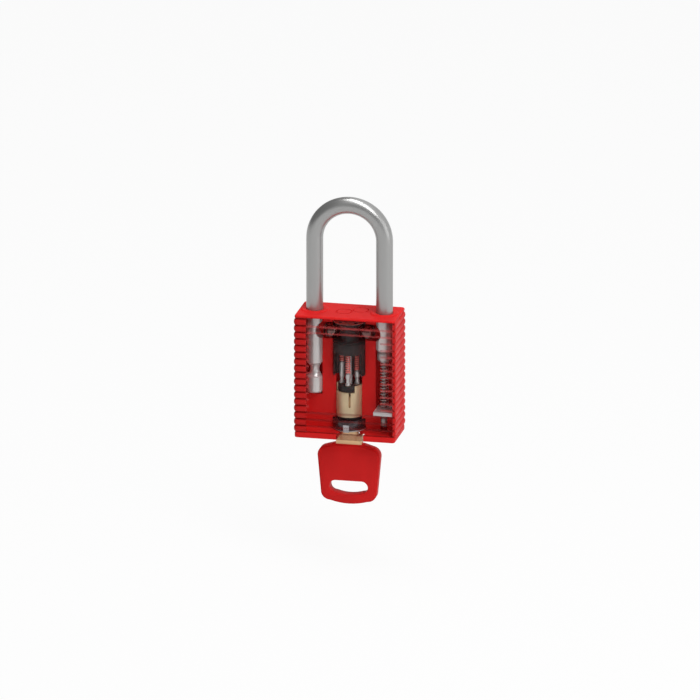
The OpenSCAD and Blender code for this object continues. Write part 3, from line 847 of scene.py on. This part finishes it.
def tree_math(tree, operation, first, second):
    """The output of a maths node that works on two sockets, or on a socket and a number."""
    node = tree.nodes.new("ShaderNodeMath")
    node.operation = operation
    for socket, value in zip(node.inputs, (first, second)):
        if isinstance(value, bpy.types.NodeSocket):
            tree.links.new(value, socket)
        else:
            socket.default_value = value
    return node.outputs[0]


def seen_directly(tree):
    """A factor of 1 for rays that show the surroundings: camera, glossy and transmission rays."""
    rays = tree.nodes.new("ShaderNodeLightPath").outputs
    total = tree_math(tree, "MAXIMUM", rays["Is Camera Ray"], rays["Is Glossy Ray"])
    return tree_math(tree, "MAXIMUM", total, rays["Is Transmission Ray"])


def screen_gloss(tree):
    """The strength of the white surroundings: gloss shows dark screens, and all else doesn't."""
    direction = tree.nodes.new("ShaderNodeTexCoord").outputs["Generated"]
    glossy = tree.nodes.new("ShaderNodeLightPath").outputs["Is Glossy Ray"]
    strength = 1.0
    for side, start, full, loss in SCREENS:
        toward = tree.nodes.new("ShaderNodeVectorMath")
        toward.operation = "DOT_PRODUCT"
        tree.links.new(direction, toward.inputs[0])
        toward.inputs[1].default_value = side
        fade = tree.nodes.new("ShaderNodeMapRange")
        tree.links.new(toward.outputs["Value"], fade.inputs["Value"])
        fade.inputs["From Min"].default_value = start
        fade.inputs["From Max"].default_value = full
        fade.inputs["To Max"].default_value = loss
        taken = tree_math(tree, "MULTIPLY", glossy, fade.outputs[0])
        strength = tree_math(tree, "SUBTRACT", strength, taken)
    return strength


def make_floor():
    """A pale floor below the key's lowest reach: white where it is seen, with a soft shadow left."""
    level = (box_mm("key_bow")[0].z - joint_travel("key_slide") - FLOOR_DROP) * MM
    mesh = bpy.data.meshes.new("floor")
    corners = [(x * FLOOR_HALF, y * FLOOR_HALF, level) for x, y in ((-1, -1), (1, -1), (1, 1), (-1, 1))]
    mesh.from_pydata(corners, [], [(0, 1, 2, 3)])
    floor = bpy.data.objects.new("floor", mesh)
    bpy.context.scene.collection.objects.link(floor)
    material = bpy.data.materials.new("floor")
    material.use_nodes = True
    tree = material.node_tree
    tree.nodes.clear()
    matt = tree.nodes.new("ShaderNodeBsdfDiffuse")
    matt.inputs["Color"].default_value = (FLOOR_GREY, FLOOR_GREY, FLOOR_GREY, 1)
    glow = tree.nodes.new("ShaderNodeEmission")
    share = tree_math(tree, "MULTIPLY", seen_directly(tree), FLOOR_GLOW)
    mix = tree.nodes.new("ShaderNodeMixShader")
    tree.links.new(share, mix.inputs[0])
    tree.links.new(matt.outputs[0], mix.inputs[1])
    tree.links.new(glow.outputs[0], mix.inputs[2])
    output = tree.nodes.new("ShaderNodeOutputMaterial")
    tree.links.new(mix.outputs[0], output.inputs["Surface"])
    mesh.materials.append(material)


def make_world():
    """A plain studio: a low even light, seen as white."""
    world = bpy.data.worlds.new("studio")
    bpy.context.scene.world = world
    world.use_nodes = True
    tree = world.node_tree
    tree.nodes.clear()
    ambient = tree.nodes.new("ShaderNodeBackground")
    ambient.inputs["Strength"].default_value = AMBIENT
    white = tree.nodes.new("ShaderNodeBackground")
    tree.links.new(screen_gloss(tree), white.inputs["Strength"])
    mix = tree.nodes.new("ShaderNodeMixShader")
    tree.links.new(seen_directly(tree), mix.inputs[0])
    tree.links.new(ambient.outputs[0], mix.inputs[1])
    tree.links.new(white.outputs[0], mix.inputs[2])
    output = tree.nodes.new("ShaderNodeOutputWorld")
    tree.links.new(mix.outputs[0], output.inputs["Surface"])


make_camera()
make_floor()
make_world()
for lamp in LAMPS:
    make_lamp(*lamp)
make_case()
make_cover()
make_collar_rim()
make_springs()
make_driver_pins()
make_balls()
make_bow()
make_plain_parts()
paint_shown_nodes()

bpy.context.scene.view_settings.view_transform = "Standard"
